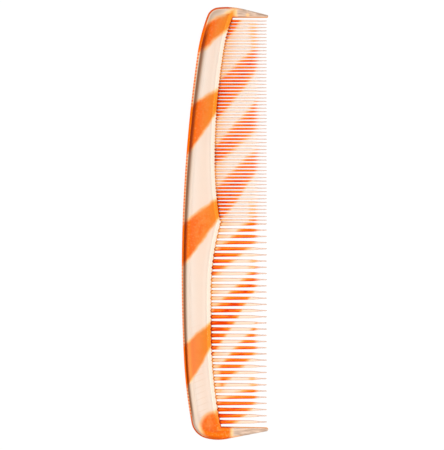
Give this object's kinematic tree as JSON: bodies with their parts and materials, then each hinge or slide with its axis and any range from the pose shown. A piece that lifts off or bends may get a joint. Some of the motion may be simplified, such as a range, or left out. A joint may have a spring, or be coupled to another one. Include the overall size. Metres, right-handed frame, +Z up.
{
  "type": "hair comb",
  "caption": "Flat two-pitch dressing comb with a curved back, close teeth along one half, wide-set teeth along the other and a stout guard tooth at each end.",
  "frame": {"origin": "middle of the comb's outline, on the flat lower face it lies on", "axes": "+X across the comb from its back to its tooth tips, +Y along the comb towards the fine-toothed end, +Z up from the face it lies on"},
  "size_m": [0.038, 0.19, 0.0044],
  "materials": {
    "comb_plastic": "glossy, translucent, cream marbled with orange"
  },
  "bodies": {
    "root": {"coarse_end_guard": "comb_plastic", "coarse_tooth_01": "comb_plastic", "coarse_tooth_02": "comb_plastic", "coarse_tooth_03": "comb_plastic", "coarse_tooth_04": "comb_plastic", "coarse_tooth_05": "comb_plastic", "coarse_tooth_06": "comb_plastic", "coarse_tooth_07": "comb_plastic", "coarse_tooth_08": "comb_plastic", "coarse_tooth_09": "comb_plastic", "coarse_tooth_10": "comb_plastic", "coarse_tooth_11": "comb_plastic", "coarse_tooth_12": "comb_plastic", "coarse_tooth_13": "comb_plastic", "coarse_tooth_14": "comb_plastic", "coarse_tooth_15": "comb_plastic", "coarse_tooth_16": "comb_plastic", "coarse_tooth_17": "comb_plastic", "coarse_tooth_18": "comb_plastic", "coarse_tooth_19": "comb_plastic", "coarse_tooth_20": "comb_plastic", "coarse_tooth_21": "comb_plastic", "coarse_tooth_22": "comb_plastic", "coarse_tooth_23": "comb_plastic", "coarse_tooth_24": "comb_plastic", "coarse_tooth_25": "comb_plastic", "coarse_tooth_26": "comb_plastic", "coarse_tooth_27": "comb_plastic", "coarse_tooth_28": "comb_plastic", "coarse_tooth_29": "comb_plastic", "coarse_tooth_30": "comb_plastic", "coarse_tooth_31": "comb_plastic", "coarse_tooth_32": "comb_plastic", "coarse_tooth_33": "comb_plastic", "fine_end_guard": "comb_plastic", "fine_teeth": "comb_plastic", "spine": "comb_plastic"}
  },
  "joints": []
}
